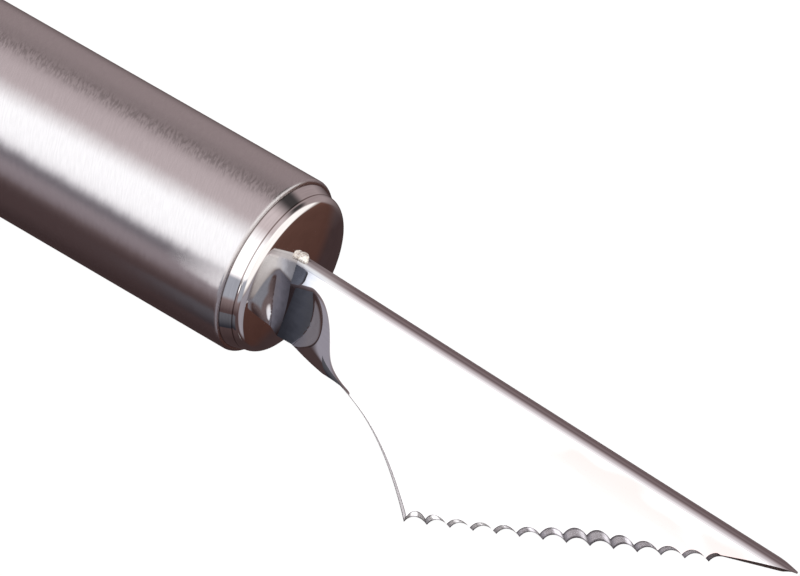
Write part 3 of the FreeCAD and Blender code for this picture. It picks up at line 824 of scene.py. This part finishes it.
def blade_columns():
    """Each column as the reach and the distance from the crest, for the outer and inner skin."""
    outer_bend, inner_bend = ((math.pi / 2 - LEAF_ANGLE) * r for r in (FOLD_RADIUS, FOLD_RADIUS - SHEET))
    columns = [(x + offset[0], run + offset[1] + outer_bend, x, run + inner_bend, scallop)
               for (x, run), offset, scallop in edge_stations()]
    start_x, start_run = BARE_START
    for i in range(BARE_STEPS + 1):
        share = i / BARE_STEPS
        x = start_x + (TIP_REACH - start_x) * share
        bare = (start_run + outer_bend) * (1 - share) - BARE_BOW * (1 - share ** 3)
        outer = max(bare, 0.0) + TIP_END
        inner = max((start_run + inner_bend) * (1 - INNER_LEAD * share), 0.02)
        columns.append((x, outer, x, inner, SCALLOPS + 0.5))
    return columns


def skin_rows(x, reach, radius, side):
    """Points from the crest down to the edge, close together round the fold."""
    bend = min((math.pi / 2 - LEAF_ANGLE) * radius, 0.8 * reach)
    rows = [bend * i / FOLD_ROWS for i in range(FOLD_ROWS + 1)]
    rows += [bend + (reach - bend) * i / LEG_ROWS for i in range(1, LEG_ROWS + 1)]
    return [skin_point(x, row, radius, side) for row in rows]


def make_blade(polished, ground):
    points, faces, indices = [], [], []
    columns = blade_columns()
    for outer_x, outer_reach, inner_x, inner_reach, scallop in columns:
        # the inner skin closes up with the outer one where the tip is all fold
        closed = clamp((inner_x - CLOSING_START) / CLOSING_LENGTH)
        inner_radius = FOLD_RADIUS - SHEET + CLOSING * closed
        near = skin_rows(outer_x, outer_reach, FOLD_RADIUS, -1)
        far = skin_rows(outer_x, outer_reach, FOLD_RADIUS, 1)
        inner_near = skin_rows(inner_x, inner_reach, inner_radius, -1)
        inner_far = skin_rows(inner_x, inner_reach, inner_radius, 1)
        points += near[::-1] + far[1:] + inner_far[::-1] + inner_near[1:]
    ring = len(points) // len(columns)
    half = ring // 2
    for column in range(len(columns) - 1):
        here, there = column * ring, (column + 1) * ring
        for j in range(ring):
            k = (j + 1) % ring
            faces.append((here + j, there + j, there + k, here + k))
            indices.append(1 if j in (half - 1, ring - 1) else 0)
    last = (len(columns) - 1) * ring
    for j in range(half - 1):
        faces.append((j, j + 1, ring - 2 - j, ring - 1 - j))
        faces.append((last + j + 1, last + j, last + ring - 1 - j, last + ring - 2 - j))
        indices += [1, 1]
    piece = add_piece("folded_blade", points, faces, (polished, ground), "blade", "polished_blade", indices)
    layer = piece.data.uv_layers.new(name="grind")
    for loop in piece.data.loops:
        column, spot = divmod(loop.vertex_index, ring)
        layer.data[loop.index].uv = (1.0 if spot < half else 0.0, columns[column][4])


# Weld bead: lumps that have run together

BEAD_LUMPS = (
    (-0.30, 0.02, -0.04, 0.44),
    (-0.26, 0.22, 0.22, 0.30),
    (0.04, -0.06, 0.0, 0.44),
    (0.42, -0.16, -0.12, 0.33),
    (0.06, 0.34, 0.10, 0.32),
    (0.32, 0.16, 0.24, 0.26),
    (-0.18, -0.36, 0.06, 0.28),
)
BEAD_SOFTNESS = 0.11
BEAD_LIMIT, BEAD_STEP = 1.2, 0.02
BEAD_RINGS, BEAD_SEGMENTS = 26, 44
# The bead sits on the fold where the dome is this far from the handle's axis
BEAD_FROM_AXIS, BEAD_AHEAD, BEAD_ABOVE = 4.1, 0.35, 0.12


def bead_reach(direction):
    """Distance from the bead's middle to its skin, where the lumps blend into each other."""
    reach = BEAD_LIMIT
    for _ in range(round(BEAD_LIMIT / BEAD_STEP)):
        point = direction * reach
        total = 0.0
        for x, y, z, radius in BEAD_LUMPS:
            total += math.exp((radius - (point - Vector((x, y, z))).length) / BEAD_SOFTNESS)
        if math.log(total) > 0:
            return reach
        reach -= BEAD_STEP
    return reach


def make_bead(material):
    points, faces = [], []
    rings, segments = BEAD_RINGS, BEAD_SEGMENTS
    middle = (dome_x(BEAD_FROM_AXIS) + BEAD_AHEAD, 0.0, FOLD_RADIUS + BEAD_ABOVE)
    for i in range(rings + 1):
        polar = math.pi * i / rings
        for j in range(segments):
            around = math.tau * j / segments
            flat = math.sin(polar)
            direction = Vector((flat * math.cos(around), flat * math.sin(around), math.cos(polar)))
            spot = direction * bead_reach(direction)
            points.append(on_blade(middle[0] + spot.x, middle[1] + spot.y, middle[2] + spot.z))
    for i in range(rings):
        for j in range(segments):
            k = (j + 1) % segments
            here, there = i * segments, (i + 1) * segments
            faces.append((here + j, there + j, there + k, here + k))
    add_piece("weld_lump", points, faces, (material,), "weld_bead", "weld_metal")


brushed = brushed_steel()
cap_steel = cap_steel_with_shaded_corners()
blade_steel = mirror_steel()
ground_steel = ground_edge_steel()
weld_steel = weld_steel_with_skin()

add_piece("brushed_tube", *turned_mesh(tube_profile()), (brushed,), "handle_tube", "brushed_handle")
add_piece("nose_cap", *turned_mesh(cap_profile()), (cap_steel,), "front_cap", "polished_cap")
add_piece(
    "end_cap", *turned_mesh(cap_profile(), -1, -TUBE_LENGTH), (cap_steel,), "rear_cap", "polished_cap"
)
make_blade(blade_steel, ground_steel)
make_bead(weld_steel)

make_world()
make_floor()

# Cards: one that the near leaf shows, one for the heel's grind and a dim one for the neck
LEAF_VIEW = turned(-0.359, -0.928, 0.109)
HEEL_VIEW = turned(-0.15, -0.28, -0.95)
WHITE_LIGHT, PALE_LIGHT = (2.1, 2.1, 2.1), (1.9, 1.87, 1.9)
DIM_TOP, DIM_FOOT = (0.14, 0.14, 0.16), (0.03, 0.03, 0.04)
make_card(
    "blade_card", place(25, -35, 1.5), LONG * 0.038, UP * 0.017, WHITE_LIGHT, grid=(LEAF_VIEW, 8, 13)
)
make_card(
    "heel_card", place(27, -27, -60), LONG * 0.011, ACROSS * 0.015, PALE_LIGHT, grid=(HEEL_VIEW, 18, 24)
)
make_card("neck_card", place(-8, -33, -26), LONG * 0.011, UP * 0.012, DIM_TOP, DIM_FOOT)

make_camera()
bpy.context.scene.view_settings.view_transform = "Standard"
